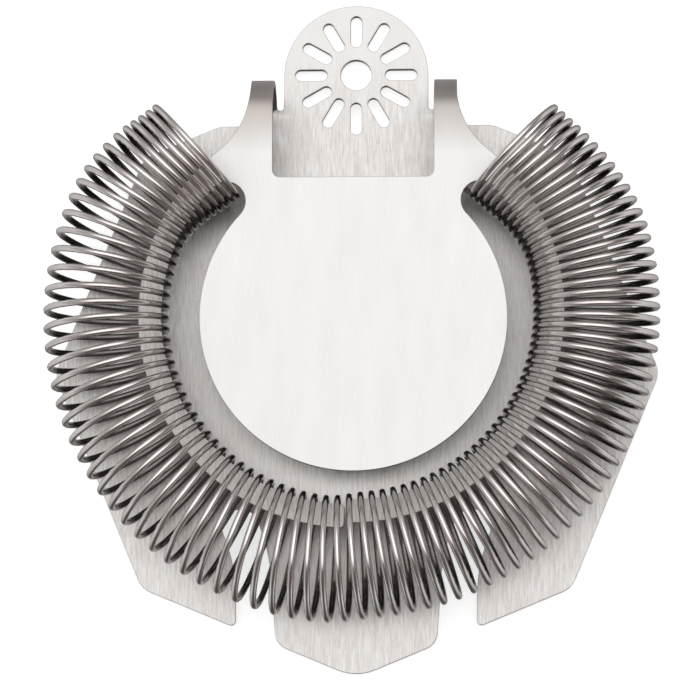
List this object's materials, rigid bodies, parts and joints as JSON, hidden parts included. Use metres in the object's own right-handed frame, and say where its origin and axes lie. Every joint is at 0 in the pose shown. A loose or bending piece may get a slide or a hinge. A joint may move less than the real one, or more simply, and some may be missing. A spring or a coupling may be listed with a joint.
{
  "type": "hawthorne strainer",
  "caption": "Folded stainless bar strainer: lobed octagonal plate, raised disc with two arms, and a coil spring threaded on the arms that grips a shaker tin.",
  "frame": {"origin": "back face of the base plate, under the centre of the round disc", "axes": "+X to the right seen from the spring side, +Y towards the thumb tab, +Z out of the spring side"},
  "size_m": [0.1002, 0.1114, 0.0251],
  "materials": {
    "sheet_steel": "stainless sheet brushed along Y",
    "spring_wire": "drawn stainless wire, smooth and fairly bright"
  },
  "bodies": {
    "base": {"base_plate": "sheet_steel", "thumb_tab": "sheet_steel", "fold_strap_left": "sheet_steel", "fold_strap_right": "sheet_steel"},
    "top": {"top_plate": "sheet_steel"},
    "left_arm": {"spring_arm_left": "sheet_steel"},
    "right_arm": {"spring_arm_right": "sheet_steel"},
    "spring": {"coil_spring_01": "spring_wire", "coil_spring_02": "spring_wire", "coil_spring_03": "spring_wire", "coil_spring_04": "spring_wire", "coil_spring_05": "spring_wire", "coil_spring_06": "spring_wire", "coil_spring_07": "spring_wire", "coil_spring_08": "spring_wire", "coil_spring_09": "spring_wire", "coil_spring_10": "spring_wire", "coil_spring_11": "spring_wire", "coil_spring_12": "spring_wire", "coil_spring_13": "spring_wire"}
  },
  "joints": [
    {"name": "plate_flex", "type": "hinge", "parent": "base", "child": "top", "pos_m": [0, 0.0334, 0.0066], "axis": [-1, 0, 0], "range_deg": [-0.7, 4], "stiffness_Nm_per_rad": 7},
    {"name": "left_arm_flex", "type": "hinge", "parent": "top", "child": "left_arm", "pos_m": [-0.02438, 0.02247, 0.0127], "axis": [-0.7466, 0.6652, 0], "range_deg": [-2, 2], "stiffness_Nm_per_rad": 0.5},
    {"name": "right_arm_flex", "type": "hinge", "parent": "top", "child": "right_arm", "pos_m": [0.02438, 0.02247, 0.0127], "axis": [-0.7466, -0.6652, 0], "range_deg": [-2, 2], "stiffness_Nm_per_rad": 0.5},
    {"name": "spring_push", "type": "slide", "parent": "top", "child": "spring", "axis": [0, 1, 0], "range_m": [0, 0.003], "stiffness_N_per_m": 1500, "deforming": ["coil_spring_01", "coil_spring_02", "coil_spring_03", "coil_spring_04", "coil_spring_05", "coil_spring_06", "coil_spring_07", "coil_spring_08", "coil_spring_09", "coil_spring_10", "coil_spring_11", "coil_spring_12", "coil_spring_13"]}
  ]
}
